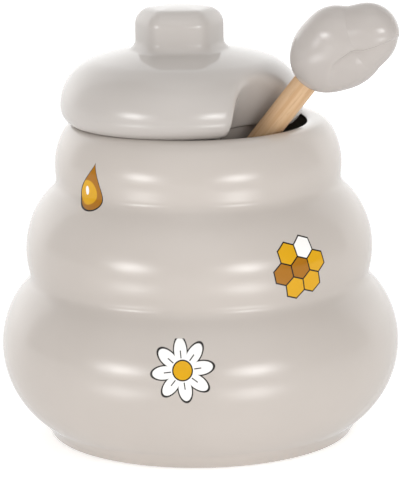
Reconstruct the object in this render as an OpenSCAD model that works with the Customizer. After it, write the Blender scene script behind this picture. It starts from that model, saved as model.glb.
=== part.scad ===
// Ceramic honey pot with three stacked rolls, a notched lift-off lid and a wooden dipper.
// The origin is the middle of the flat foot, +Z is up, and the user stands on the -Y side.

/* [Pot] */
// Widest diameter, round the lowest roll
belly_d = 114; // [108:0.5:124]
// Height of the lowest roll's widest ring above the table
belly_z = 25.8; // [24.6:0.1:28]
// Radius of the lowest roll's curve above its widest ring
belly_curve = 25.5; // [23:0.1:27]
// Radius of the lowest roll's curve below its widest ring
under_curve = 27; // [26:0.1:28.5]
// Diameter of the middle roll
middle_d = 99.2; // [96:0.2:103]
// Radius of the middle roll's curve
middle_curve = 24; // [22:0.1:26]
// Rise from the lowest roll's widest ring to the middle roll's
middle_rise = 27.6; // [26:0.1:30]
// Diameter of the top roll
top_d = 81.8; // [79:0.2:84]
// Radius of the top roll's curve
top_curve = 19.5; // [18:0.1:21]
// Rise from the middle roll's widest ring to the top roll's
top_rise = 24.2; // [23:0.1:27]
// Rise from the top roll's widest ring to the top of the lip
lip_rise = 12.6; // [11.5:0.1:13.6]
// Radius of the hollow glazed valleys between the rolls
valley_round = 2.8; // [1.5:0.1:4]
// Diameter of the foot where the lowest roll meets it
foot_d = 92; // [89:0.5:95]
// How much narrower the foot's side is at the table, on the radius
foot_taper = 2.3; // [1:0.1:3.2]
// Rounding of the foot's lower edge
foot_round = 0.8; // [0.4:0.1:1.5]
// Thickness of the pot's wall
wall = 4.4; // [3.6:0.1:5.2]
// Thickness of the pot's bottom
bottom = 5; // [4:0.1:6]
// Radius inside the pot between its bottom and its wall
corner_round = 9; // [8.8:0.1:10.5]

/* [Mouth] */
// Diameter of the mouth
mouth_d = 61.2; // [59:0.2:63]
// Rounding of the lip's inner edge
lip_inner_round = 1.2; // [0.8:0.1:1.6]
// Rounding of the lip's outer edge
lip_outer_round = 4; // [3:0.1:4.6]

/* [Lid] */
// Diameter of the lid at its fullest ring
lid_d = 69; // [68:0.2:72]
// Height of the lid's fullest ring above the lip
lid_ring_h = 4.5; // [3.8:0.1:5]
// Radius of the lid's curve from its fullest ring down to its seat
lid_edge_round = 5.5; // [5.2:0.1:6.5]
// Radius of the lid's shoulder
lid_shoulder = 14; // [12:0.1:15]
// Height of the lid's crown above the lip, without the knob
crown_h = 21.5; // [20.5:0.1:25]
// Thickness of the lid's wall
lid_wall = 4.2; // [3.4:0.1:5]
// Sideways play of the lid's flange in the mouth, on the radius
lid_play = 4.8; // [2:0.1:5.2]
// Depth of the flange that hangs into the mouth
flange_h = 6; // [4:0.1:9]
// Thickness of the flange
flange_t = 4; // [3:0.1:5]

/* [Knob] */
// Width of the knob
knob_w = 25.2; // [20:0.2:30]
// Depth of the knob, front to back
knob_depth = 15.5; // [12:0.2:20]
// Height of the knob above the lid's crown
knob_h = 10.5; // [8:0.1:16]
// Rounding of the knob's upright edges
knob_corner = 4.6; // [3:0.1:5.5]
// Rounding of the knob's top edge
knob_top_round = 2.6; // [1.5:0.1:3]
// Radius of the flare between the knob and the lid
knob_flare = 2.6; // [1.5:0.1:4]
// How far the knob stands to the left of the lid's middle
knob_off = 0.4; // [0:0.1:1.5]

/* [Notch for the dipper] */
// Radius of the scooped notch in the lid
notch_r = 13; // [12.5:0.1:14]
// Direction of the notch from the lid's middle, in degrees
notch_at = -45; // [-48:1:-42]
// Distance from the lid's middle to the notch's axis, at the height of the lip
notch_reach = 36.4; // [35.6:0.1:37]
// Angle of the notch's axis above the horizontal
notch_slope = 66; // [62:1:68]

/* [Dipper] */
// Diameter of the wooden handle
handle_d = 6.9; // [6:0.1:7.4]
// Direction from the pot's axis to where the handle leans on the lip, in degrees
handle_at = -40.5; // [-44:0.5:-38]
// Direction from the pot's axis to where the head lies on the bottom, in degrees
head_at = 163; // [158:1:170]
// Length of handle that shows between the lip and the finial
handle_showing = 14.2; // [13:0.1:30]
// Length of the turned head
head_len = 34; // [28:0.5:40]
// Diameter of the turned head
head_d = 17; // [14:0.2:17.4]
// Number of grooves round the head
grooves = 6; // [4:1:7]
// Width of a groove
groove_w = 2; // [1.4:0.1:2.4]
// Diameter of the wood left at the bottom of a groove
core_d = 7.6; // [6.6:0.1:10]

/* [Finial] */
// Length of the three-lobed finial along the handle
finial_l = 33; // [31:0.5:40]
// Thickness of the finial as a share of its natural thickness
finial_flat = 0.8; // [0.7:0.01:0.95]
// How far the finial is turned about the handle, in degrees
finial_turn = 17; // [5:1:30]
// How far the finial's middle stands back from the user, across the handle
finial_lean = 0.4; // [-1:0.1:1.5]
// Depth of the finial's socket for the handle
socket_depth = 10; // [7:0.5:13]

/* [Clearances] */
// Air between the leaning dipper and the pot
rest_gap = 0.3; // [0.2:0.05:0.5]
// Air between the lid's flange and the mouth where the lid is pushed against it
flange_gap = 0.4; // [0.2:0.05:0.8]
// Glue line round the handle in the finial's socket, on the radius
glue_gap = 0.1; // [0.05:0.05:0.2]

/* [Hidden] */

// Degrees between two points of a curve
step = 6;
// Extra length by which a cutting tool passes through a face
over = 2;
// Facets round the pot and the lid
round_facets = 120;

// Heights that follow from the rolls
middle_z = belly_z + middle_rise;
top_z = middle_z + top_rise;
pot_h = top_z + lip_rise;
mouth_r = mouth_d / 2;

// Centres of the rolls' curves in the half section, as [radius, height]
under_c = [belly_d / 2 - under_curve, belly_z];
belly_c = [belly_d / 2 - belly_curve, belly_z];
middle_c = [middle_d / 2 - middle_curve, middle_z];
top_c = [top_d / 2 - top_curve, top_z];

// Points on a circle from one angle to another
function arc(c, r, from, to) =
    let (n = max(2, ceil(abs(to - from) / step)))
    [for (i = [0:n]) let (a = from + (to - from) * i / n) c + r * [cos(a), sin(a)]];

// Angle of the direction from p to q
function heading(p, q) = atan2(q.y - p.y, q.x - p.x);

// The point at rp from p and rq from q, on the outer side of both
function outer_meet(p, rp, q, rq) =
    let (
        d = norm(q - p),
        along = (rp * rp - rq * rq + d * d) / (2 * d),
        across = sqrt(max(rp * rp - along * along, 0)),
        e = (q - p) / d
    )
    p + along * e + across * [e.y, -e.x];

// Centres of the valleys, outside the wall
low_valley = outer_meet(belly_c, belly_curve + valley_round, middle_c, middle_curve + valley_round);
high_valley = outer_meet(middle_c, middle_curve + valley_round, top_c, top_curve + valley_round);

// The three rolls and two valleys as one line, set in by a thickness
function rolls(inset, first_angle, last_angle) = concat(
    arc(under_c, under_curve - inset, first_angle, -step),
    arc(belly_c, belly_curve - inset, 0, heading(belly_c, low_valley)),
    arc(low_valley, valley_round + inset, heading(belly_c, low_valley) + 180, heading(middle_c, low_valley) + 180),
    arc(middle_c, middle_curve - inset, heading(middle_c, low_valley), heading(middle_c, high_valley)),
    arc(high_valley, valley_round + inset, heading(middle_c, high_valley) + 180, heading(top_c, high_valley) + 180),
    arc(top_c, top_curve - inset, heading(top_c, high_valley), last_angle)
);

// The lip's outer rounding touches the top roll's curve from inside
lip_c_z = pot_h - lip_outer_round;
lip_c = [top_c.x + sqrt(pow(top_curve - lip_outer_round, 2) - pow(lip_c_z - top_z, 2)), lip_c_z];

// The foot's side meets the lowest roll at this angle of its curve
foot_angle = -acos((foot_d / 2 - under_c.x) / under_curve);
foot_low_r = foot_d / 2 - foot_taper;

// Inside, the corner rounding touches the bottom and the wall
corner_z = bottom + corner_round;
corner_c = [under_c.x + sqrt(pow(under_curve - wall - corner_round, 2) - pow(corner_z - belly_z, 2)), corner_z];
corner_angle = heading(under_c, corner_c);
neck_angle = acos((mouth_r - top_c.x) / (top_curve - wall));

function reversed(list) = [for (i = [len(list) - 1:-1:0]) list[i]];

pot_outline = concat(
    [[0, 0]],
    arc([foot_low_r - foot_round, foot_round], foot_round, -90, 0),
    rolls(0, foot_angle, heading(top_c, lip_c)),
    arc(lip_c, lip_outer_round, heading(top_c, lip_c) + step, 90),
    arc([mouth_r + lip_inner_round, pot_h - lip_inner_round], lip_inner_round, 90, 180),
    reversed(rolls(wall, corner_angle + step, neck_angle)),
    reversed(arc(corner_c, corner_round, -90, corner_angle)),
    [[0, bottom]]
);

// The lid stands to the left, its flange pushed against the mouth
lid_r = lid_d / 2;
flange_r = mouth_r - lid_play;
lid_at = [-(lid_play - flange_gap), 0, pot_h];
edge_c = [lid_r - lid_edge_round, lid_ring_h];
edge_angle = -asin(min(lid_ring_h / lid_edge_round, 1));
shoulder_c = [lid_r - lid_shoulder, lid_ring_h];
crown_rise = crown_h - lid_ring_h;
crown_r = (pow(shoulder_c.x, 2) + pow(crown_rise, 2) - pow(lid_shoulder, 2)) / (2 * (crown_rise - lid_shoulder));
crown_c = [0, crown_h - crown_r];
crown_angle = heading(crown_c, shoulder_c);

lid_outline = concat(
    [[0, -flange_h], [flange_r, -flange_h], [flange_r, 0]],
    arc(edge_c, lid_edge_round, edge_angle, 0),
    arc(shoulder_c, lid_shoulder, step, crown_angle),
    arc(crown_c, crown_r, crown_angle + 1, 90)
);

hollow_r = flange_r - flange_t;
// The hollow leaves the lid's side at this angle of the shoulder's curve
hollow_angle = 12;
hollow_outline = concat(
    [[0, -flange_h - over], [hollow_r, -flange_h - over], [hollow_r, 0]],
    arc(shoulder_c, lid_shoulder - lid_wall, hollow_angle, crown_angle),
    arc(crown_c, crown_r - lid_wall, crown_angle + 1, 90)
);

// The dipper's head rests in the corner of the pot's bottom, and its handle on the lip
head_r = head_d / 2;
handle_r = handle_d / 2;
head_c = corner_c + max(corner_round - head_r - rest_gap, 0) * [cos(-45), sin(-45)];
head_p = [head_c.x * cos(head_at), head_c.x * sin(head_at), head_c.y];
lip_ring = [mouth_r + lip_inner_round, pot_h - lip_inner_round];
lean_p = [lip_ring.x * cos(handle_at), lip_ring.x * sin(handle_at), lip_ring.y];
lip_tangent = [-sin(handle_at), cos(handle_at), 0];

function unit(v) = v / norm(v);
// The handle's axis passes the lip's rounding at this distance, square to both
function over_lip(direction) = lean_p + (lip_inner_round + handle_r + rest_gap) * unit(cross(direction, lip_tangent));
function settled(p, rounds) = rounds == 0 ? p : settled(over_lip(unit(p - head_p)), rounds - 1);

// Rounds of the above until the handle lies still on the lip
settle_rounds = 5;
handle_p = settled(lean_p, settle_rounds);
dipper_axis = unit(handle_p - head_p);
reach = norm(handle_p - head_p);
finial_at = reach + handle_showing;

// Places children with +Z along the dipper and the origin at the middle of its round end
module on_dipper() {
    level = unit(cross(dipper_axis, [0, 0, 1]));
    down = cross(dipper_axis, level);
    multmatrix([
        [level.x, down.x, dipper_axis.x, head_p.x],
        [level.y, down.y, dipper_axis.y, head_p.y],
        [level.z, down.z, dipper_axis.z, head_p.z],
        [0, 0, 0, 1]
    ]) children();
}

module pot() {
    color("#d3cbc4")
        rotate_extrude($fn = round_facets) polygon(pot_outline);
}

// A leaning round bar through the lid, where the notch is scooped out
module notch_bar(r) {
    rotate(notch_at)
        translate([notch_reach, 0, 0])
        rotate([0, 90 - notch_slope, 0])
        translate([0, 0, -2 * flange_h - over])
        cylinder(r = r, h = crown_h + 4 * flange_h, $fn = 72);
}

// Degrees between two points of the knob's corners
knob_step = 15;
// Smallest rounding left on a corner
least_round = 0.3;
// One level of the knob: a rectangle with round corners, grown or shrunk by an amount
function knob_ring(grow, z) =
    let (
        half = [knob_w / 2 - knob_corner, knob_depth / 2 - knob_corner],
        r = max(knob_corner + grow, least_round)
    )
    [for (q = [0:3], i = [0:90 / knob_step])
        let (
            a = q * 90 + i * knob_step,
            sx = (q == 0 || q == 3) ? 1 : -1,
            sy = q < 2 ? 1 : -1
        )
        [sx * half.x - knob_off + r * cos(a), sy * half.y + r * sin(a), z]];

// The flare starts this far below the crown, where the lid's dome has dropped away
knob_sink = 1.6;
knob_foot_z = crown_h - knob_sink;
knob_top_z = crown_h + knob_h;
knob_levels = concat(
    [knob_ring(knob_flare, knob_foot_z - over)],
    [for (a = [0:knob_step:90]) knob_ring(
        knob_flare * (1 - sin(a)), knob_foot_z + knob_flare * (1 - cos(a)))],
    [for (a = [0:knob_step:90]) knob_ring(
        -knob_top_round * (1 - cos(a)), knob_top_z - knob_top_round * (1 - sin(a)))]
);

// A closed skin over a stack of rings with the same number of points
module stack(rings) {
    n = len(rings[0]);
    last = (len(rings) - 1) * n;
    sides = [for (k = [0:len(rings) - 2], i = [0:n - 1], half = [0:1])
        let (a = k * n + i, b = k * n + (i + 1) % n)
        half == 0 ? [a, a + n, b] : [b, a + n, b + n]];
    polyhedron(
        points = [for (ring = rings, p = ring) p],
        faces = concat([[for (i = [0:n - 1]) i]], sides, [[for (i = [n - 1:-1:0]) last + i]])
    );
}

module lid() {
    color("#d6cfc8")
        translate(lid_at)
        difference() {
            union() {
                rotate_extrude($fn = round_facets) polygon(lid_outline);
                stack(knob_levels);
            }
            difference() {
                rotate_extrude($fn = round_facets) polygon(hollow_outline);
                notch_bar(notch_r + lid_wall);
            }
            notch_bar(notch_r);
        }
}

// Radius of the head's barrel at a distance from its tip
shoulder_l = 5;
function barrel(t) =
    t < head_r ? sqrt(max(head_r * head_r - pow(head_r - t, 2), 0))
    : t < head_len - shoulder_l ? head_r
    : handle_r + (head_r - handle_r) * sqrt(max(1 - pow((t - head_len + shoulder_l) / shoulder_l, 2), 0));

nose_l = 5;
groove_pitch = (head_len - nose_l - shoulder_l) / grooves;
dipper_outline = concat(
    [for (a = [0:step:acos(1 - nose_l / head_r)]) [head_r * sin(a), head_r * (1 - cos(a))]],
    [for (i = [0:grooves - 1], k = [0:3])
        let (
            low = nose_l + i * groove_pitch,
            t = low + (k < 2 ? 0 : groove_w)
        )
        [(k == 0 || k == 3) ? barrel(t) : core_d / 2, t]],
    [for (i = [0:6]) let (t = head_len - shoulder_l * (1 - i / 6)) [barrel(t), t]],
    [[handle_r, finial_at + head_r + socket_depth], [0, finial_at + head_r + socket_depth]]
);

module dipper() {
    color("#c9a277")
        on_dipper()
        translate([0, 0, -head_r])
        rotate_extrude($fn = 72) polygon(dipper_outline);
}

// The finial's lobes, as [across, away from the user, along, radius] from where the handle enters it.
// They are shares of its length. The first two make the near lobe, the third the top one, the rest the low one.
lobes = [
    [-0.005, -0.031, 0.294, 0.26],
    [-0.031, -0.029, 0.537, 0.265],
    [0.144, -0.008, 0.74, 0.234],
    [0.019, 0.034, 0.379, 0.319],
    [0.125, 0.012, 0.537, 0.265],
    [0.177, -0.023, 0.739, 0.205]
] * finial_l;
finial_middle = [0.058, 0, 0.545] * finial_l;
// Higher makes sharper creases between the lobes
crease = 16;
// Degrees between two points of the finial's skin
finial_step = 10;

// How far a lobe reaches from the finial's middle in a direction
function lobe_reach(lobe, dir) =
    let (
        c = [lobe[0], lobe[1], lobe[2]] - finial_middle,
        b = c * dir,
        inside = b * b - c * c + lobe[3] * lobe[3]
    )
    inside > 0 ? max(b + sqrt(inside), 0) : 0;

function total(list, i = 0) = i == len(list) ? 0 : list[i] + total(list, i + 1);
function finial_reach(dir) = pow(total([for (lobe = lobes) pow(lobe_reach(lobe, dir), crease)]), 1 / crease);

finial_rings = [for (tilt = [finial_step / 2 - 90:finial_step:90 - finial_step / 2])
    [for (turn = [0:finial_step:360 - finial_step])
        let (
            dir = [cos(tilt) * cos(turn), cos(tilt) * sin(turn), sin(tilt)],
            p = finial_middle + finial_reach(dir) * dir
        )
        [p.x, p.y * finial_flat, p.z]]];

module finial() {
    color("#cfc8c5")
        on_dipper()
        difference() {
            translate([0, 0, finial_at])
                rotate(finial_turn + 90)
                translate([0, finial_lean, 0])
                stack(finial_rings);
            translate([0, 0, finial_at - head_len])
                cylinder(r = handle_r + glue_gap, h = head_len + socket_depth, $fn = 48);
        }
}

pot();
lid();
dipper();
finial();
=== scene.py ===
# %% [markdown]
# # A glazed honey pot with its lid and dipper
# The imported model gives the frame: where each body is, how big it is and how it moves. This lesson models
# the four pieces again with finer shapes, gives them glaze and wood, and sets up a light table for the
# picture. Blender works in metres. The drawing values below are in millimetres, as on a potter's drawing,
# and are turned into metres when a mesh is made.

# %% Load the frame
import math

import bpy
import numpy as np
from mathutils import Matrix, Vector


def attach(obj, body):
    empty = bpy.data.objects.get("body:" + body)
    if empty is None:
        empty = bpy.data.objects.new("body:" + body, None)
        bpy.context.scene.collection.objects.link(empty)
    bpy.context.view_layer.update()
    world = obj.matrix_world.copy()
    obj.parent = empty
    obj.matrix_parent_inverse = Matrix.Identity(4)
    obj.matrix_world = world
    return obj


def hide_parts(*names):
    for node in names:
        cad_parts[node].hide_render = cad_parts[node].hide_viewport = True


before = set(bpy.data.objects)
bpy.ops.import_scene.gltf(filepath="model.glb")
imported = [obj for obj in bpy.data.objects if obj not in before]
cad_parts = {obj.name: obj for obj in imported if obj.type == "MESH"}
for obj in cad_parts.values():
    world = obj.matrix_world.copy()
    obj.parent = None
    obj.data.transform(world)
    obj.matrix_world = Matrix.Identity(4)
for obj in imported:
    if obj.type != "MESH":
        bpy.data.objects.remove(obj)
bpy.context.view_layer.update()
MM = 0.001

# %% [markdown]
# ## Lines in a half section
# A round piece is drawn as one line in a half section, as [radius, height]. The rolls of this pot are arcs
# that run into each other through small hollow arcs. One helper draws an arc, and another finds where a
# hollow arc sits between two rolls.

# %% Arcs and valleys
ARC_STEP = 3  # degrees


def arc(centre, radius, first, last, step=ARC_STEP):
    """Points on a circle from one angle to another, in degrees."""
    count = max(2, math.ceil(abs(last - first) / step))
    angles = np.radians(np.linspace(first, last, count + 1))
    return [(centre[0] + radius * math.cos(a), centre[1] + radius * math.sin(a)) for a in angles]


def heading(start, end):
    """Angle of the direction from one point to another, in degrees."""
    return math.degrees(math.atan2(end[1] - start[1], end[0] - start[0]))


def outer_meet(p, reach_p, q, reach_q):
    """The point at two given distances from p and q, on the outer side."""
    dx, dy = q[0] - p[0], q[1] - p[1]
    apart = math.hypot(dx, dy)
    along = (reach_p ** 2 - reach_q ** 2 + apart ** 2) / (2 * apart)
    across = math.sqrt(reach_p ** 2 - along ** 2)
    ex, ey = dx / apart, dy / apart
    return (p[0] + along * ex + across * ey, p[1] + along * ey - across * ex)


BELLY_Z, MIDDLE_Z, TOP_Z, LIP_Z = 25.8, 53.4, 77.6, 90.2
VALLEY = 2.8
UNDER = ((57 - 27, BELLY_Z), 27)
BELLY = ((57 - 25.5, BELLY_Z), 25.5)
MIDDLE = ((49.6 - 24, MIDDLE_Z), 24)
TOP = ((40.9 - 19.5, TOP_Z), 19.5)
low_valley = outer_meet(BELLY[0], BELLY[1] + VALLEY, MIDDLE[0], MIDDLE[1] + VALLEY)
high_valley = outer_meet(MIDDLE[0], MIDDLE[1] + VALLEY, TOP[0], TOP[1] + VALLEY)
print("valleys at", low_valley, high_valley)

# %% [markdown]
# ## The pot's line
# The real pot is slip-cast: liquid clay sets against a plaster mould, so the wall is about as thick
# everywhere and the inside follows the outside. The same function therefore draws both faces, the inner one
# set in by the wall. Glaze rounds off every change of curve, so the line is resampled evenly and softened a
# little.

# %% Draw the pot's half section
WALL, BOTTOM, MOUTH_R = 4.4, 5, 30.6
LIP_OUT, LIP_IN, CORNER = 4, 1.2, 9
FOOT_R, FOOT_LOW_R, FOOT_ROUND = 46, 43.7, 0.8
FOOT_RING, RECESS = 5, 0.8


def hollow(valley, inset, below, over):
    """The hollow arc between two rolls."""
    return arc(valley, VALLEY + inset, heading(below, valley) + 180, heading(over, valley) + 180)


def rolls(inset, first, last):
    """The three rolls and two valleys as one line, set in by a thickness."""
    line = arc(UNDER[0], UNDER[1] - inset, first, -ARC_STEP)
    line += arc(BELLY[0], BELLY[1] - inset, 0, heading(BELLY[0], low_valley))
    line += hollow(low_valley, inset, BELLY[0], MIDDLE[0])
    line += arc(MIDDLE[0], MIDDLE[1] - inset, heading(MIDDLE[0], low_valley), heading(MIDDLE[0], high_valley))
    line += hollow(high_valley, inset, MIDDLE[0], TOP[0])
    return line + arc(TOP[0], TOP[1] - inset, heading(TOP[0], high_valley), last)


def even(line, spacing):
    """The same line with points at even distances."""
    line = np.array(line)
    run = np.concatenate([[0], np.cumsum(np.hypot(*np.diff(line, axis=0).T))])
    at = np.linspace(0, run[-1], max(2, round(run[-1] / spacing)) + 1)
    return np.stack([np.interp(at, run, line[:, k]) for k in (0, 1)], 1)


def soften(line, passes):
    """Each inner point moves towards the middle of its neighbours, several times."""
    line = line.copy()
    for _ in range(passes):
        line[1:-1] += (line[:-2] + line[2:] - 2 * line[1:-1]) / 4
    return line


lip_c = (TOP[0][0] + math.sqrt((TOP[1] - LIP_OUT) ** 2 - (LIP_Z - LIP_OUT - TOP_Z) ** 2), LIP_Z - LIP_OUT)
foot_angle = -math.degrees(math.acos((FOOT_R - UNDER[0][0]) / UNDER[1]))
corner_z = BOTTOM + CORNER
corner_c = (UNDER[0][0] + math.sqrt((UNDER[1] - WALL - CORNER) ** 2 - (corner_z - BELLY_Z) ** 2), corner_z)
corner_angle = heading(UNDER[0], corner_c)
neck_angle = math.degrees(math.acos((MOUTH_R - TOP[0][0]) / (TOP[1] - WALL)))
foot = [(0, RECESS), (FOOT_LOW_R - FOOT_RING - RECESS, RECESS)]
foot += arc((FOOT_LOW_R - FOOT_RING, 0.5), 0.5, 180, 270, 30)
foot += arc((FOOT_LOW_R - FOOT_ROUND, FOOT_ROUND), FOOT_ROUND, -90, 0, 15)
outside = rolls(0, foot_angle, heading(TOP[0], lip_c))
lip = arc(lip_c, LIP_OUT, heading(TOP[0], lip_c) + ARC_STEP, 90)
lip += arc((MOUTH_R + LIP_IN, LIP_Z - LIP_IN), LIP_IN, 90, 180, 12)
inside = rolls(WALL, corner_angle + ARC_STEP, neck_angle)[::-1]
inside += arc(corner_c, CORNER, -90, corner_angle)[::-1] + [(0, BOTTOM)]
pot_line = np.concatenate([foot, soften(even(outside + lip + inside, 0.75), 4)])
print("pot line:", len(pot_line), "points, lip at", LIP_Z, "mm")

# %% [markdown]
# ## Turning a line into a piece
# Clay turns on a wheel, and Blender's spin does the same. The line is made as by hand: a plane is merged to
# one vertex, the vertex is extruded from point to point, and the whole line is spun round the upright axis.
# The seam and the poles are merged, and the normals are made to point outwards.

# %% Spin helper
def edit(piece):
    """Opens a piece in edit mode with everything selected, and nothing else selected."""
    bpy.ops.object.select_all(action="DESELECT")
    piece.select_set(True)
    bpy.context.view_layer.objects.active = piece
    bpy.ops.object.mode_set(mode="EDIT")
    bpy.ops.mesh.select_all(action="SELECT")


def close_up(piece, gap=2e-6):
    """Merges seams and poles, turns the faces outwards and leaves edit mode."""
    edit(piece)
    bpy.ops.mesh.remove_doubles(threshold=gap)
    bpy.ops.mesh.normals_make_consistent(inside=False)
    bpy.ops.object.mode_set(mode="OBJECT")
    bpy.ops.object.shade_smooth()
    piece.data.update()


def turned(name, line, steps):
    """A piece turned from a line of [radius, height] in millimetres."""
    points = [Vector((r, 0, z)) * MM for r, z in line]
    bpy.ops.object.select_all(action="DESELECT")
    bpy.ops.mesh.primitive_plane_add(size=MM, location=points[0])
    piece = bpy.context.object
    piece.name = name
    bpy.ops.object.transform_apply(location=True, rotation=True, scale=True)
    edit(piece)
    bpy.ops.mesh.merge(type="CENTER")
    for start, end in zip(points, points[1:]):
        bpy.ops.mesh.extrude_region_move(TRANSFORM_OT_translate={"value": end - start})
    bpy.ops.mesh.select_all(action="SELECT")
    bpy.ops.mesh.spin(steps=steps, angle=2 * math.pi, center=(0, 0, 0), axis=(0, 0, 1))
    bpy.ops.object.mode_set(mode="OBJECT")
    close_up(piece)
    print(name, len(piece.data.polygons), "faces")
    return piece


# %% Make the pot
pot = turned("glazed_pot", pot_line, 160)
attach(pot, "pot")
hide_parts("pot")

# %% [markdown]
# ## The lid's rings
# The lid isn't round: a block knob grows out of its dome, and a scoop in its edge makes room for the
# dipper. So it is built as a stack of rings with the same number of points. Rings start at the middle of
# the knob's top, go down its sides, spread over the dome, round the edge, in under the seat and up into the
# hollow. The knob is a block with softly bulging faces: a quarter of its outline is four arcs that run into
# each other, and the other three mirror it. On the dome the rings turn into circles.

# %% Knob outline
TURNS = 240
LID_AT = Vector((-4.4, 0, LIP_Z))
OPPOSITE = math.radians(135)  # the side away from the notch, where every ring starts
KNOB_W, KNOB_DEPTH, KNOB_OFF = 25.0, 24.0, 0.4
KNOB_ARCS = ((25, 0, 12), (5.4, 12, 60), (46, 60, 70), (6, 70, 90))  # radius, normal from, normal to
turn_angles = OPPOSITE + np.arange(TURNS) * 2 * math.pi / TURNS


def knob_quarter():
    """The outline from the middle of the front to the side, as [right, forward, normal]."""
    centre, before, points = np.array([0.0, 0.0]), 0, []
    for radius, first, last in KNOB_ARCS:
        way = np.array([math.sin(math.radians(first)), math.cos(math.radians(first))])
        centre = centre + (before - radius) * way
        before = radius
        for a in np.radians(np.arange(first, last, 1.0)):
            points.append([centre[0] + radius * math.sin(a), centre[1] + radius * math.cos(a), a])
    side = centre + np.array([KNOB_ARCS[-1][0], 0])
    points = np.array(points + [[*side, math.pi / 2]])
    points[:, 0] *= KNOB_W / 2 / side[0]
    points[:, 1] = (1 - points[:, 1] / side[1]) * KNOB_DEPTH / 2
    return points


quarter = knob_quarter()
half = np.concatenate([quarter[::-1], quarter[1:] * (-1, 1, -1)])
loop = np.concatenate([half[:-1], half[:-1] * (-1, -1, 1)])
normals = np.stack([np.sin(loop[:, 2]), np.cos(loop[:, 2])], 1)
normals[len(half) - 1:] *= -1
polar = np.unwrap(np.arctan2(loop[:, 1], loop[:, 0]))
knob_line = [np.interp(turn_angles, polar, values, period=2 * math.pi)
             for values in (loop[:, 0], loop[:, 1], normals[:, 0], normals[:, 1])]
print("knob outline spans", np.ptp(knob_line[0]), np.ptp(knob_line[1]))


def knob_outline(grow, share=1.0):
    """The knob's outline, grown by an amount and then drawn in towards its middle."""
    x, y, nx, ny = knob_line
    return (x + grow * nx) * share, (y + grow * ny) * share


# %% [markdown]
# ## The scoop in the lid
# The scoop is a leaning round bar cut out of the dome. Cut with a boolean it would leave a sharp edge,
# where glaze flows round on the real lid. Here each ring is found by walking out from the middle until a
# smooth mix of two distances says stop: the distance to the dome's own curve, and the distance to the bar.
# The mix rounds the crest.

# %% Notch and ring finder
EDGE, EDGE_R = (29.0, 4.5), 5.5
SHOULDER, SHOULDER_R = (20.5, 4.5), 14.0
CROWN_H, CROWN_R = 21.5, 85.54
FLANGE_R, FLANGE_H, FLANGE_T, LID_WALL = 25.8, 6.0, 4.0, 4.2
NOTCH_R, NOTCH_REACH = 13.0, 36.4
NOTCH_AT, NOTCH_LEAN = math.radians(-45), math.radians(24)
CREST = 2.6  # how far the rounding of the notch's crest spreads
crown_angle = heading((0, CROWN_H - CROWN_R), SHOULDER)

near = np.linspace(-0.9, 0.9, 3001)
away = np.linspace(0.9, 2 * math.pi - 0.9, 601)[1:-1]
scan_angles = NOTCH_AT + np.concatenate([near, away])


def bar_gap(rho, z, thicker=0.0):
    """How far inside the notch's bar a point is, for each scanned direction."""
    x = rho * np.cos(scan_angles - NOTCH_AT)
    y = rho * np.sin(scan_angles - NOTCH_AT)
    across = (x - NOTCH_REACH) * math.cos(NOTCH_LEAN) - z * math.sin(NOTCH_LEAN)
    return NOTCH_R + thicker - np.hypot(across, y)


def rounded_max(a, b, spread):
    share = np.maximum(spread - np.abs(a - b), 0) / spread
    return np.maximum(a, b) + share * share * spread / 4


def notched_ring(z, out_gap, thicker=0.0, spread=CREST):
    """The ring at height z where the mix of the lid's curve and the notch is zero, evenly spaced."""
    low, high = np.full(scan_angles.shape, 5.0), np.full(scan_angles.shape, 36.0)
    for _ in range(26):
        middle = (low + high) / 2
        outside = rounded_max(out_gap(middle, z), bar_gap(middle, z, thicker), spread) > 0
        high, low = np.where(outside, middle, high), np.where(outside, low, middle)
    x, y = low * np.cos(scan_angles), low * np.sin(scan_angles)
    start = np.argmin(np.abs(scan_angles - OPPOSITE))
    x, y = np.roll(x, -start), np.roll(y, -start)
    x, y = np.append(x, x[0]), np.append(y, y[0])
    run = np.concatenate([[0], np.cumsum(np.hypot(np.diff(x), np.diff(y)))])
    at = np.arange(TURNS) * run[-1] / TURNS
    return np.stack([np.interp(at, run, x), np.interp(at, run, y), np.full(TURNS, z)], 1)


# %% [markdown]
# ## Lid, from knob to hollow
# The list below is the walk over the lid. Each stretch adds rings: the knob's crowned top, its rounded
# edge, its side, the flare onto the dome, the dome, the shoulder with the notch, the seat, the flange that
# hangs into the mouth, and the hollow.

# %% Rings of the knob and the dome
KNOB_TOP = CROWN_H + 11.0
KNOB_ROUND, KNOB_CROWN, FLARE = 4.8, 0.45, 2.4
ROUND_FROM = 84  # degrees, where the crowned top runs into the rounded edge


def dome_z(rho):
    return CROWN_H - CROWN_R + np.sqrt(CROWN_R ** 2 - rho ** 2)


def ring_of(x, y, z, off=KNOB_OFF):
    """A ring from its outline, at a height or on a surface."""
    x = x - off
    height = z(np.hypot(x, y)) if callable(z) else np.full(TURNS, float(z))
    return np.stack([x, y, height], 1)


rings = []
edge_z = KNOB_TOP - KNOB_CROWN - KNOB_ROUND * math.sin(math.radians(ROUND_FROM))
top_grow = -KNOB_ROUND * (1 - math.cos(math.radians(ROUND_FROM)))
for share in np.linspace(0, 1, 12)[:-1]:
    rings.append(ring_of(*knob_outline(top_grow, share), KNOB_TOP - KNOB_CROWN * share ** 2))
for a in np.radians(np.linspace(ROUND_FROM, 0, 16)):
    rings.append(ring_of(*knob_outline(-KNOB_ROUND * (1 - math.cos(a))), edge_z + KNOB_ROUND * math.sin(a)))
for z in np.linspace(edge_z, dome_z(12.0) + FLARE, 6)[1:-1]:
    rings.append(ring_of(*knob_outline(0), z))
for a in np.radians(np.linspace(90, 0, 13)):
    rise = FLARE * (1 - math.cos(a))
    rings.append(ring_of(*knob_outline(FLARE * (1 - math.sin(a))), lambda rho: dome_z(rho) + rise))
dome_edge = CROWN_R * math.cos(math.radians(crown_angle))
foot_x, foot_y = knob_outline(FLARE)
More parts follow.
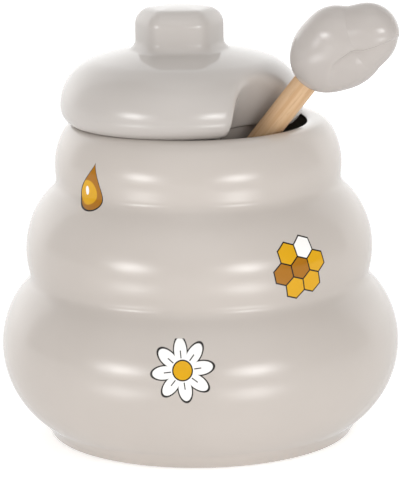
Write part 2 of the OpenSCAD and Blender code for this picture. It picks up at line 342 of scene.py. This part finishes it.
for share in np.linspace(0, 1, 12)[1:]:
    x = foot_x * (1 - share) + dome_edge * np.cos(turn_angles) * share
    y = foot_y * (1 - share) + dome_edge * np.sin(turn_angles) * share
    rings.append(ring_of(x, y, dome_z, KNOB_OFF * (1 - share)))
print("knob and dome:", len(rings), "rings")

# %% Rings of the shoulder, seat, flange and hollow
def dome_gap(rho, z):
    centre, radius = (SHOULDER, SHOULDER_R) if z >= SHOULDER[1] else (EDGE, EDGE_R)
    out = rho - centre[0]
    return np.where(out > 0, np.hypot(out, z - centre[1]) - radius, out - radius)


def straight(radius):
    """The gap to an upright wall."""
    return lambda rho, z: rho - radius


for r, z in arc(SHOULDER, SHOULDER_R, crown_angle - ARC_STEP, 0):
    rings.append(notched_ring(z, dome_gap))
UNDER_ROUND = 0.9
edge_low = -math.degrees(math.asin(EDGE[1] / EDGE_R))
for r, z in arc(EDGE, EDGE_R, -4, edge_low, 4):
    eased = max(UNDER_ROUND - z, 0) / UNDER_ROUND
    rings.append(notched_ring(z, dome_gap, UNDER_ROUND * (1 - math.sqrt(1 - min(eased, 1) ** 2))))
seat_r = EDGE[0] + EDGE_R * math.cos(math.radians(edge_low))
for r in np.linspace(seat_r - 0.8, FLANGE_R + 0.8, 4):
    rings.append(notched_ring(0, straight(r), UNDER_ROUND, 1.0))
for r, z in arc((FLANGE_R + 0.8, -0.8), 0.8, 90, 180, 30)[1:]:
    rings.append(notched_ring(z, straight(r), UNDER_ROUND, 1.0))
for r, z in [(FLANGE_R, -2.5)] + arc((FLANGE_R - 1.4, 1.4 - FLANGE_H), 1.4, 0, -90, 15):
    rings.append(notched_ring(z, straight(r), UNDER_ROUND + FLANGE_R - r, 1.0))
hollow_r = FLANGE_R - FLANGE_T
for r, z in arc((hollow_r + 1.2, 1.2 - FLANGE_H), 1.2, -90, -180, 15):
    rings.append(notched_ring(z, straight(r), LID_WALL - (r - hollow_r), 1.0))
inner = SHOULDER_R - LID_WALL
hollow_foot = arc(SHOULDER, inner, 12, 12.1)[0]
slope = [(hollow_r + (hollow_foot[0] - hollow_r) * t, hollow_foot[1] * t) for t in (0.05, 0.3, 0.6, 0.85)]
for r, z in [(hollow_r, -2.5)] + slope + arc(SHOULDER, inner, 12, crown_angle, 6):
    rings.append(notched_ring(z, straight(r), LID_WALL, 1.5))
inner_rho = SHOULDER[0] + inner * math.cos(math.radians(crown_angle))
for rho in np.linspace(inner_rho, 0, 9)[1:]:
    rings.append(ring_of(rho * np.cos(turn_angles), rho * np.sin(turn_angles), dome_z(rho) - LID_WALL, 0))
print("whole lid:", len(rings), "rings of", TURNS)

# %% [markdown]
# ## Raising the rings
# A circle is added and extruded upwards once for each ring, so it is a plain tube. Then each vertex goes to
# its place in the ring with its own level and turn. The first and last rings are single points, which the
# merge closes.

# %% Make the lid
def raised(name, rings, at):
    """A closed piece from a stack of rings in millimetres."""
    bpy.ops.object.select_all(action="DESELECT")
    bpy.ops.mesh.primitive_circle_add(vertices=TURNS, radius=1, fill_type="NOTHING")
    piece = bpy.context.object
    piece.name = name
    edit(piece)
    for _ in rings[1:]:
        bpy.ops.mesh.extrude_region_move(TRANSFORM_OT_translate={"value": (0, 0, 1)})
    bpy.ops.object.mode_set(mode="OBJECT")
    for vertex in piece.data.vertices:
        turn = round(math.atan2(vertex.co.y, vertex.co.x) / (2 * math.pi / TURNS)) % TURNS
        vertex.co = (Vector(rings[round(vertex.co.z)][turn]) + at) * MM
    close_up(piece)
    print(name, len(piece.data.polygons), "faces")
    return piece


lid = raised("glazed_lid", rings, LID_AT)
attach(lid, "lid")
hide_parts("lid")

# %% [markdown]
# ## The dipper
# A honey dipper is turned from one stick of beech: a barrel with grooves that hold the honey, and a plain
# handle. It is turned upright like the pot, from a line with slightly rounded rims, and then laid along its
# own axis.

# %% Dipper line and axis
HEAD_P = Vector((-35.2906, 10.7894, 13.8586))
AXIS = Vector((0.561061, -0.287084, 0.776398)).normalized()
HANDLE_R, HEAD_R, HEAD_LEN = 3.45, 8.5, 34.0
GROOVES, GROOVE_W, CORE_R, SOFT = 6, 2.0, 3.8, 0.35
NOSE, NECK = 5.0, 5.0
FINIAL_AT = 114.933
SOCKET = 10.0


def barrel(t):
    """Radius of the head at a distance from its tip."""
    if t < HEAD_R:
        return math.sqrt(max(HEAD_R ** 2 - (HEAD_R - t) ** 2, 0))
    if t < HEAD_LEN - NECK:
        return HEAD_R
    left = (t - HEAD_LEN + NECK) / NECK
    return HANDLE_R + (HEAD_R - HANDLE_R) * math.sqrt(max(1 - left ** 2, 0))


dipper_line = arc((0, HEAD_R), HEAD_R, -90, -90 + math.degrees(math.acos(1 - NOSE / HEAD_R)) - 4, 6)
pitch = (HEAD_LEN - NOSE - NECK) / GROOVES
for groove in range(GROOVES):
    low = NOSE + groove * pitch
    high = low + GROOVE_W
    dipper_line += arc((barrel(low) - SOFT, low - SOFT), SOFT, 0, 90, 30)
    dipper_line += [(CORE_R + SOFT, low)] + arc((CORE_R + SOFT, low + SOFT), SOFT, -90, -180, 30)
    dipper_line += arc((CORE_R + SOFT, high - SOFT), SOFT, 180, 90, 30) + [(CORE_R + SOFT, high)]
    dipper_line += arc((barrel(high) - SOFT, high + SOFT), SOFT, -90, 0, 30)
dipper_line += [(barrel(t), t) for t in np.linspace(HEAD_LEN - NECK, HEAD_LEN, 14)]
handle_end = FINIAL_AT + HEAD_R + SOCKET
dipper_line += [(HANDLE_R, t) for t in np.linspace(HEAD_LEN, handle_end - 0.5, 30)[1:]]
dipper_line += [(HANDLE_R - 0.5, handle_end), (0, handle_end)]
level = AXIS.cross(Vector((0, 0, 1))).normalized()
down = AXIS.cross(level)
stand = Matrix((level, down, AXIS)).transposed().to_4x4()
lay = Matrix.Translation(HEAD_P * MM) @ stand
print("dipper line:", len(dipper_line), "points,", round(handle_end, 1), "mm long")

# %% Make the dipper
dipper = turned("wooden_dipper", [(r, t - HEAD_R) for r, t in dipper_line], 64)
dipper.data.transform(lay)
dipper.data.update()
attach(dipper, "dipper")
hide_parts("dipper")

# %% [markdown]
# ## The finial
# The finial is a small glazed knob with three plump lobes. An icosphere has even faces all over and no
# poles, so it suits a blob. Each vertex is pushed out along its own direction, as far as the lobes reach,
# and a smooth maximum lets the lobes run together. The two upper lobes fold over the long lower one: under
# the fold line the surface is pressed in, and above it a small lip stands proud.

# %% Finial values and lobes
FINIAL_L, FINIAL_FLAT, FINIAL_TURN, FINIAL_LEAN = 33.0, 0.8, math.radians(107), 0.4
LOBES = np.array([
    [-0.005, -0.031, 0.294, 0.26],
    [-0.031, -0.029, 0.537, 0.265],
    [0.144, -0.008, 0.74, 0.234],
    [0.019, 0.034, 0.379, 0.319],
    [0.125, 0.012, 0.537, 0.265],
    [0.177, -0.023, 0.739, 0.205],
]) * FINIAL_L
LOBE_GROUPS = ([0, 1], [2], [3, 4, 5])
FINIAL_MIDDLE = np.array([0.058, 0, 0.545]) * FINIAL_L
BLENDS = (6.0, 6.0, 7.0)  # how widely the lobes of each group blend
SOFT_VALLEY, CREASE = 3.6, 3.0
VIEW_LEVEL, VIEW_DOWN, VIEW_Z = 0.975, 0.2225, 54.65  # how the camera looks down, and at what height
FOLD = np.array([  # across and up, as the camera sees it
    [35.5, 39.5], [35.6, 42.2], [36.2, 45.5], [36.9, 47.0], [38.3, 48.4], [40.0, 49.5],
    [41.6, 50.6], [43.2, 51.0], [45.1, 50.9], [48.1, 51.7], [51.1, 52.9], [54.9, 54.8],
])
FOLD_DEEP, FOLD_EDGE, FOLD_BACK = 3.2, 0.8, 3.4  # depth under the fold, its lip, and how far it runs out
LIP_RISE, LIP_EDGE, LIP_BACK = 0.5, 0.5, 2.2
SIDE_ON, FACING_POWER = 0.12, 0.7  # how the fold fades where the surface turns away from the camera


def lobe_reaches(directions):
    """How far each lobe reaches from the finial's middle, for each direction."""
    centres = LOBES[:, :3] - FINIAL_MIDDLE
    b = directions @ centres.T
    hit = b * b - (centres ** 2).sum(1) + LOBES[:, 3] ** 2
    return np.where(hit > 0, np.maximum(b + np.sqrt(np.maximum(hit, 0)), 0), 0)


# %% Run the lobes together
bpy.ops.object.select_all(action="DESELECT")
bpy.ops.mesh.primitive_ico_sphere_add(subdivisions=7, radius=1)
finial = bpy.context.object
finial.name = "glazed_finial"
directions = np.array([v.co for v in finial.data.vertices])
directions /= np.linalg.norm(directions, axis=1)[:, None]
reaches = lobe_reaches(directions)
turn = Matrix.Rotation(FINIAL_TURN, 4, "Z")
place = lay @ Matrix.Translation((0, 0, FINIAL_AT * MM)) @ turn
front = place.to_3x3().inverted() @ Vector((0, -VIEW_LEVEL, VIEW_DOWN))  # the side that the camera sees
groups = []
for members, blend in zip(LOBE_GROUPS, BLENDS):
    reach = reaches[:, members[0]]
    for member in members[1:]:
        reach = rounded_max(reach, reaches[:, member], blend)
    groups.append(reach)
upper = rounded_max(groups[0], groups[1], SOFT_VALLEY)
full = rounded_max(upper, groups[2], CREASE)
print("lobes reach", round(full.min(), 1), "to", round(full.max(), 1), "mm")


# %% Fold the upper lobes over the lower one
def flattened(points):
    """The blob made thinner and set back."""
    return points * (1, FINIAL_FLAT, 1) + (0, FINIAL_LEAN, 0)


seen = flattened(FINIAL_MIDDLE + directions * full[:, None])
seen = np.array([place @ (Vector(point) * MM) / MM for point in seen])
seen = np.stack([seen[:, 0], seen[:, 1] * VIEW_DOWN + (seen[:, 2] - VIEW_Z) * VIEW_LEVEL], 1)
nearest, side = np.full(len(seen), 1e9), np.zeros(len(seen))
for start, end in zip(FOLD, FOLD[1:]):
    step = end - start
    share = np.clip((seen - start) @ step / (step @ step), 0, 1)
    gap = seen - start - share[:, None] * step
    distance = np.hypot(gap[:, 0], gap[:, 1])
    under = step[0] * gap[:, 1] - step[1] * gap[:, 0] < 0
    side = np.where(distance < nearest, np.where(under, 1, -1), side)
    nearest = np.minimum(nearest, distance)
facing = np.clip(directions @ np.array(front) - SIDE_ON, 0, 1) ** FACING_POWER
fold = FOLD_DEEP * np.exp(-nearest / FOLD_BACK) * (1 - np.exp(-nearest / FOLD_EDGE))
lip_rise = LIP_RISE * np.exp(-nearest / LIP_BACK) * (1 - np.exp(-nearest / LIP_EDGE))
pressed = np.where(side > 0, fold, -lip_rise) * facing
points = flattened(FINIAL_MIDDLE + directions * (full - pressed)[:, None])
for vertex, point in zip(finial.data.vertices, points):
    vertex.co = place @ (Vector(point) * MM)
close_up(finial)
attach(finial, "dipper")
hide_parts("finial")
print("finial", len(finial.data.polygons), "faces")

# %% [markdown]
# ## Shader sums
# Procedural patterns are sums of numbers over the surface. This class wraps one output socket, so that an
# ordinary Python expression adds the Math nodes. Every other node comes from its method `add`.

# %% Socket class
class Field:
    """A value that varies over a surface."""

    def __init__(self, tree, socket):
        self.tree = tree
        self.socket = socket

    def add(self, kind, settings=None, sockets=None, out=0):
        """A node of this kind, with its settings first and then its sockets, by name or number."""
        node = self.tree.nodes.new(kind)
        for name, value in (settings or {}).items():
            if name == "stops":
                ramp = node.color_ramp
                for _ in value[2:]:
                    ramp.elements.new(0.5)
                for element, (place, colour) in zip(ramp.elements, value):
                    element.position = place
                    element.color = (*colour, 1)
            else:
                setattr(node, name, value)
        for name, value in (sockets or {}).items():
            if isinstance(value, Field):
                self.tree.links.new(value.socket, node.inputs[name])
            else:
                node.inputs[name].default_value = value
        return Field(self.tree, node.outputs[out])

    def math(self, operation, *others, flip=False):
        values = [*others, self] if flip else [self, *others]
        return self.add("ShaderNodeMath", {"operation": operation}, dict(enumerate(values)))

    def __add__(self, other): return self.math("ADD", other)
    def __radd__(self, other): return self.math("ADD", other)
    def __sub__(self, other): return self.math("SUBTRACT", other)
    def __rsub__(self, other): return self.math("SUBTRACT", other, flip=True)
    def __mul__(self, other): return self.math("MULTIPLY", other)
    def __rmul__(self, other): return self.math("MULTIPLY", other)
    def __truediv__(self, other): return self.math("DIVIDE", other)
    def __rtruediv__(self, other): return self.math("DIVIDE", other, flip=True)
    def __abs__(self): return self.math("ABSOLUTE")
    def low(self, other): return self.math("MINIMUM", other)
    def high(self, other): return self.math("MAXIMUM", other)

    def step(self, first, last):
        """0 before first and 1 after last, with a smooth rise between."""
        sockets = {"Value": self, "From Min": first, "From Max": last}
        return self.add("ShaderNodeMapRange", {"interpolation_type": "SMOOTHSTEP"}, sockets)

    def tint(self, under, over):
        """One colour over another, as far as this value says."""
        sockets = {0: self, 6: under, 7: over}
        return self.add("ShaderNodeMix", {"data_type": "RGBA"}, sockets, out=2)


def srgb(*levels):
    """A colour from levels between 0 and 255, as a shader wants it."""
    shares = [v / 255 for v in levels]
    return tuple(s / 12.92 if s <= 0.04045 else ((s + 0.055) / 1.055) ** 2.4 for s in shares) + (1,)


def finish_on(name, piece):
    """A new material on a piece: its tree's first field and its shader."""
    material = bpy.data.materials.new(name)
    material.use_nodes = True
    tree = material.node_tree
    shader = tree.nodes["Principled BSDF"]
    piece.data.materials.clear()
    piece.data.materials.append(material)
    place = tree.nodes.new("ShaderNodeTexCoord")
    return Field(tree, place.outputs["Object"]), shader


def feed(shader, name, value):
    value.tree.links.new(value.socket, shader.inputs[name])


# %% [markdown]
# ## Glaze
# The glaze is a warm off-white glass over the clay, shiny and very slightly wavy. Its tone varies a little
# at random, and tiny iron specks show here and there. Roughness varies by a hair, so that the reflections of
# the lamps have soft edges.

# %% Glaze
GLAZE_ROUGH = 0.06
SPECK = srgb(150, 128, 100)
POT_GLAZE = srgb(191, 183, 176), srgb(195, 187, 180)
LID_GLAZE = srgb(187, 181, 176), srgb(191, 185, 180)
FINIAL_GLAZE = srgb(180, 173, 168), srgb(184, 177, 172)


def glaze(at, shader, colour, pale, waves=0.05):
    """Sets up the shader and returns the colour before any prints."""
    cloud = at.add("ShaderNodeTexNoise", {}, {"Vector": at, "Scale": 28.0, "Detail": 3.0})
    fine = at.add("ShaderNodeTexNoise", {}, {"Vector": at, "Scale": 900.0, "Detail": 2.0})
    slow = at.add("ShaderNodeTexNoise", {}, {"Vector": at, "Scale": 140.0, "Detail": 1.0})
    specks = at.add("ShaderNodeTexVoronoi", {}, {"Vector": at, "Scale": 75.0})
    chance = at.add("ShaderNodeTexVoronoi", {}, {"Vector": at, "Scale": 75.0}, out=1)
    pick = chance.add("ShaderNodeSeparateColor", {}, {0: chance}).step(0.93, 0.94)
    speck = (1 - specks.step(0.02, 0.035)) * pick
    base = cloud.step(0.3, 0.7).tint(colour, pale)
    base = (speck * 0.55).tint(base, SPECK)
    feed(shader, "Roughness", GLAZE_ROUGH + fine * 0.02 + cloud * 0.02)
    bump = at.add("ShaderNodeBump", {}, {"Strength": waves, "Distance": 0.001, "Height": slow + fine * 0.05})
    feed(shader, "Normal", bump)
    shader.inputs["IOR"].default_value = 1.5
    return base


at, shader = finish_on("off_white_glaze", lid)
feed(shader, "Base Color", glaze(at, shader, *LID_GLAZE))
at, shader = finish_on("finial_off_white_glaze", finial)
feed(shader, "Base Color", glaze(at, shader, *FINIAL_GLAZE))
at, pot_shader = finish_on("printed_off_white_glaze", pot)
pot_base = glaze(at, pot_shader, *POT_GLAZE)

# %% [markdown]
# ## Prints on the pot
# Small transfers are fired on the glaze: daisies, a piece of honeycomb and honey drops. Each print has its
# own coordinates on the wall, across and up in millimetres. A print is one mask for its dark line and one
# for each colour, and it stays on the outer face, because the inner face is nearer to the axis.

# %% Print shapes
AMBER, DARK_AMBER = srgb(217, 163, 24), srgb(166, 108, 20)
INK, PAPER = srgb(25, 22, 20), srgb(247, 245, 242)
LINE_W = 0.38


def inside(distance, edge, soft=0.07):
    """1 where a distance is below an edge, with a narrow rise."""
    return 1 - distance.step(edge - soft, edge + soft)


def daisy(colour, u, v, here):
    """Eight white petals with a dark line round an amber middle."""
    around = v.math("ARCTAN2", u).math("PINGPONG", math.pi / 8)
    r = (u * u + v * v).math("SQRT")
    p = (r * around.math("COSINE") - 5.1) / 3.3
    q = r * around.math("SINE") / 1.75
    petal = (p * p + q * q).math("SQRT")
    colour = (inside(petal, 1.2, 0.05) * here).tint(colour, INK)
    colour = (inside(petal, 1.0, 0.05) * here).tint(colour, PAPER)
    vein = inside(abs(q), 0.09, 0.05) * inside(r, 5.2) * inside(0 - r, -3.2)
    colour = (vein * here).tint(colour, INK)
    colour = (inside(r, 2.5 + LINE_W) * here).tint(colour, INK)
    return (inside(r, 2.5) * here).tint(colour, AMBER)


def honeycomb(colour, u, v, here):
    """Six filled cells and an open one."""
    half = 2.8
    a = u * 0.5 + v * (math.sqrt(3) / 2)
    b = u * 0.5 - v * (math.sqrt(3) / 2)
    for cell in range(7):
        turn = math.radians(60 * cell)
        x, y = (2 * half * math.cos(turn), 2 * half * math.sin(turn)) if cell < 6 else (0, 0)
        ca, cb = x * 0.5 + y * math.sqrt(3) / 2, x * 0.5 - y * math.sqrt(3) / 2
        hexagon = abs(u - x).high(abs(a - ca)).high(abs(b - cb))
        colour = (inside(hexagon, half + LINE_W / 2) * here).tint(colour, INK)
        fill = PAPER if cell == 1 else DARK_AMBER if cell in (3, 6) else AMBER
        colour = (inside(hexagon, half - LINE_W / 2) * here).tint(colour, fill)
    return colour


def drop(colour, u, v, here):
    """A honey drop with a glint."""
    for grown, fill in ((LINE_W, INK), (0, AMBER)):
        s = (6.5 + grown - v) / (13 + 2 * grown)
        s = s.high(0).low(1)
        width = (s * s * s * (1 - s)).math("SQRT") * (13.2 + 3.2 * grown)
        body = inside(abs(u) - width, -0.07) * here
        colour = body.tint(colour, fill)
    shade = ((u + 1.2) * (u + 1.2) + (v + 2.2) * (v + 2.2)).math("SQRT")
    gloss = ((u + 1.7) * (u + 1.7) * 2.2 + (v + 1.8) * (v + 1.8) * 0.6).math("SQRT")
    colour = (body * inside(0 - shade, -3.4, 0.2)).tint(colour, DARK_AMBER)
    return (inside(gloss, 1.0) * here).tint(colour, PAPER)


# %% Put the prints on
SKIN = 4.2  # prints stay this near to the roll's outside, which keeps them off the inner wall
PRINTS = (  # shape, azimuth from the front to the right, height and roll radius in millimetres, tilt
    (daisy, -5, 31.5, 57.0, 8),
    (honeycomb, 34, 56.0, 49.6, 12),
    (drop, -46, 77.0, 40.9, -8),
    (daisy, 150, 55.0, 49.6, -10),
    (drop, -128, 28.0, 57.0, 10),
)
position = at.add("ShaderNodeSeparateXYZ", {}, {0: at}).socket.node
x, y, z = (Field(at.tree, position.outputs[k]) / MM for k in range(3))
bearing = x.math("ARCTAN2", 0 - y)
reach = (x * x + y * y).math("SQRT")
colour = pot_base
for shape, azimuth, height, radius, tilt in PRINTS:
    across = (bearing - math.radians(azimuth)) * radius
    lift = z - height
    c, d = math.cos(math.radians(tilt)), math.sin(math.radians(tilt))
    u, v = across * c + lift * d, lift * c - across * d
    here = reach.step(radius - SKIN, radius - SKIN + 0.2)
    colour = shape(colour, u, v, here)
feed(pot_shader, "Base Color", colour)
print("pot material:", len(at.tree.nodes), "nodes")

# %% [markdown]
# ## Wood
# The stick is pale beech. Its grain runs along the stick, so the pattern is turned to the dipper's own axis
# and stretched along it. Short darker flecks are typical of beech.

# %% Wood
at, shader = finish_on("pale_beech", dipper)
turn_back = stand.inverted().to_euler()
along = at.add("ShaderNodeMapping", {"vector_type": "POINT"}, {"Vector": at, "Rotation": turn_back})
long = along.add("ShaderNodeMapping", {}, {"Vector": along, "Scale": (1, 1, 0.04)})
streaks = long.add("ShaderNodeTexNoise", {}, {"Vector": long, "Scale": 900.0, "Detail": 4.0})
broad = long.add("ShaderNodeTexNoise", {}, {"Vector": long, "Scale": 260.0, "Detail": 2.0})
short = along.add("ShaderNodeMapping", {}, {"Vector": along, "Scale": (1, 1, 0.12)})
flecks = short.add("ShaderNodeTexNoise", {}, {"Vector": short, "Scale": 2400.0, "Detail": 1.0})
wood = streaks.step(0.3, 0.7).tint(srgb(210, 176, 138), srgb(197, 157, 115))
wood = (broad.step(0.45, 0.75) * 0.35).tint(wood, srgb(186, 143, 100))
wood = (flecks.step(0.62, 0.72) * 0.22).tint(wood, srgb(156, 112, 75))
feed(shader, "Base Color", wood)
feed(shader, "Roughness", 0.5 + streaks * 0.15)
pores = {"Strength": 0.25, "Distance": 0.0002, "Height": streaks + flecks}
feed(shader, "Normal", at.add("ShaderNodeBump", {}, pores))

# %% [markdown]
# ## Table
# The picture is a bright product shot on a white table. The table glows a little, so it stays white right
# up to the foot and lights the pot from below. It is hidden from mirror rays: what the glaze would show of
# it is drawn by the room's light below the horizon, which is easier to shape.

# %% Table
bpy.ops.object.select_all(action="DESELECT")
bpy.ops.mesh.primitive_grid_add(x_subdivisions=4, y_subdivisions=4, size=10, location=(0, 0, -0.0002))
table = bpy.context.object
table.name = "white_table"
bpy.ops.object.transform_apply(location=True, rotation=True, scale=True)
table.visible_glossy = False
at, shader = finish_on("white_table_top", table)
shader.inputs["Base Color"].default_value = srgb(250, 250, 250)
shader.inputs["Roughness"].default_value = 0.7
shader.inputs["Specular IOR Level"].default_value = 0.0
shader.inputs["Emission Color"].default_value = (1, 1, 1, 1)
shader.inputs["Emission Strength"].default_value = 0.42

# %% [markdown]
# ## Room
# The room is all light and no objects. It has three regions: the darker room in front, the white backdrop
# behind and at the sides, and what shows below the horizon. Soft patches of light are added. The two strong
# ones, left and right of the camera, make the paired highlights on every roll, and the weaker pair below
# them stands for their shine on the table. The strengths were fitted to the tones of the picture, then
# rounded and adjusted.

# %% World
world = bpy.data.worlds.new("bright_room")
bpy.context.scene.world = world
world.use_nodes = True
sky = world.node_tree
backdrop = sky.nodes["Background"]
backdrop.inputs["Color"].default_value = (1, 1, 1, 1)
way = Field(sky, sky.nodes.new("ShaderNodeTexCoord").outputs["Generated"])


def towards(azimuth, elevation):
    """A direction. Azimuth is from the camera's side towards the right."""
    a, e = math.radians(azimuth), math.radians(elevation)
    return Vector((math.sin(a) * math.cos(e), -math.cos(a) * math.cos(e), math.sin(e)))


def along_way(direction):
    return way.add("ShaderNodeVectorMath", {"operation": "DOT_PRODUCT"}, {0: way, 1: direction}, out=1)


def patch(azimuth, elevation, wide, tall):
    """A soft patch of light, with its half width and half height in degrees."""
    middle = towards(azimuth, elevation)
    aside = towards(azimuth + 90, 0)
    a = along_way(aside) / math.sin(math.radians(wide))
    b = along_way(aside.cross(middle)) / math.sin(math.radians(tall))
    return (0 - a * a - b * b).math("EXPONENT") * along_way(middle).step(0, 0.2)


def room(left, right, top):
    """The room in front of the pot, between two azimuths and under a height, as a mask."""
    low = along_way(towards(left + 90, 0)).step(-0.04, 0.04)
    high = along_way(towards(right - 90, 0)).step(-0.04, 0.04)
    up = along_way(Vector((0, 0, 1)))
    return low.high(high) * (1 - up.step(math.sin(math.radians(top - 4)), math.sin(math.radians(top + 4))))


front_room = room(-121, 114, 71)
above = along_way(Vector((0, 0, 1))).step(-0.03, 0.01)
REGIONS = {
    "front": (front_room * above, 0.08),
    "back": ((1 - front_room) * above, 0.65),
    "below": (1 - above, 0.55),
}
PATCHES = (  # azimuth, elevation, half width, half height in degrees, strength
    (-46, 5.8, 13, 6, 8.5),
    (31, 6.5, 13, 6, 8.5),
    (-46, -20, 14, 7, 3.4),
    (31, -20, 14, 7, 4.4),
    (0, 45, 35, 30, 0.85),
    (135, 15, 30, 30, 0.75),
    (180, 15, 30, 30, 0.75),
    (225, 15, 30, 30, 1.2),
)
light = 0.0
for region, strength in REGIONS.values():
    light = region * strength + light
for *place, strength in PATCHES:
    light = patch(*place) * strength + light
sky.links.new(light.socket, backdrop.inputs["Strength"])
print("world:", len(sky.nodes), "nodes")

# %% [markdown]
# ## Lamps
# Two large soft lamps light the pieces from the front, higher up. They are hidden from mirror rays too, so
# that only the room's patches show in the glaze.

# %% Lamps
def lamp(name, azimuth, elevation, distance, size, power):
    """A soft lamp that faces the pot."""
    way_out = towards(azimuth, elevation)
    data = bpy.data.lights.new(name, "AREA")
    data.shape = "RECTANGLE"
    data.size, data.size_y = size
    data.energy = power
    light = bpy.data.objects.new(name, data)
    bpy.context.collection.objects.link(light)
    light.location = Vector((0, 0, 0.06)) + way_out * distance
    light.rotation_euler = way_out.to_track_quat("Z", "Y").to_euler()
    light.visible_camera = False
    light.visible_glossy = False
    return light


lamp("left_lamp", -60, 30, 1.4, (0.8, 0.8), 2.0)
lamp("right_lamp", 45, 35, 1.4, (0.8, 0.8), 4.0)

# %% [markdown]
# ## Camera
# The camera stands a little above the pot, looks slightly down, and is rolled by less than a degree, like
# the photographer's. A long lens keeps the rolls nearly parallel.

# %% Camera
LOOK_AT = Vector((0.001223, 0, 0.05465))
DISTANCE, TILT, ROLL, LENS = 0.855, 0.224427, 0.0133, 223.41
forward = Vector((0, math.cos(TILT), -math.sin(TILT)))
right_way = Vector((1, 0, 0))
up_way = Vector((0, math.sin(TILT), math.cos(TILT)))
x_axis = right_way * math.cos(ROLL) - up_way * math.sin(ROLL)
y_axis = right_way * math.sin(ROLL) + up_way * math.cos(ROLL)
data = bpy.data.cameras.new("front_camera")
data.sensor_fit = "VERTICAL"
data.sensor_height = 36
data.lens = LENS
camera = bpy.data.objects.new("front_camera", data)
bpy.context.collection.objects.link(camera)
facing = Matrix((x_axis, y_axis, -forward)).transposed().to_4x4()
camera.matrix_world = Matrix.Translation(LOOK_AT - forward * DISTANCE) @ facing
bpy.context.scene.camera = camera
bpy.context.scene.view_settings.view_transform = "Standard"
